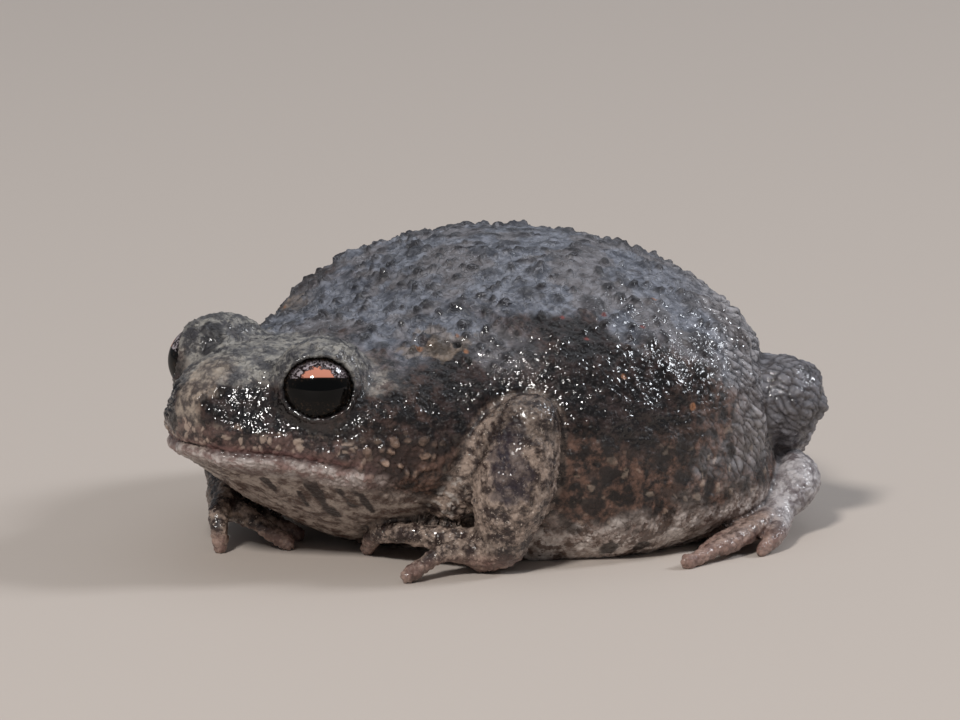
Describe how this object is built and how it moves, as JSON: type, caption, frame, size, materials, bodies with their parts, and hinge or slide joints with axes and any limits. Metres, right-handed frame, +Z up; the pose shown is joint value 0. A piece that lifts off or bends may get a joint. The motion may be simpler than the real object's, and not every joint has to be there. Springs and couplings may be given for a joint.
{
  "type": "western brood frog, still life-size model",
  "caption": "Plump warty toadlet at rest, head raised a little, forearms out in front and hind legs folded at its sides.",
  "frame": {"origin": "middle of the box round the whole animal, on the floor that it rests on", "axes": "the snout points to -Y, the frog's left side is +X, and +Z is up"},
  "size_m": [0.0234, 0.0256, 0.0109],
  "materials": {
    "skin": "moist warty skin, slate grey to brown with black blotches and pale specks",
    "eye": "wet glossy black with a copper patch in the upper iris"
  },
  "bodies": {
    "root": {"head": "skin", "torso": "skin", "eye_left": "eye", "eye_right": "eye", "upper_arm_left": "skin", "forearm_left": "skin", "hand_left": "skin", "upper_arm_right": "skin", "forearm_right": "skin", "hand_right": "skin", "thigh_left": "skin", "shank_left": "skin", "foot_left": "skin", "thigh_right": "skin", "shank_right": "skin", "foot_right": "skin"}
  },
  "joints": []
}
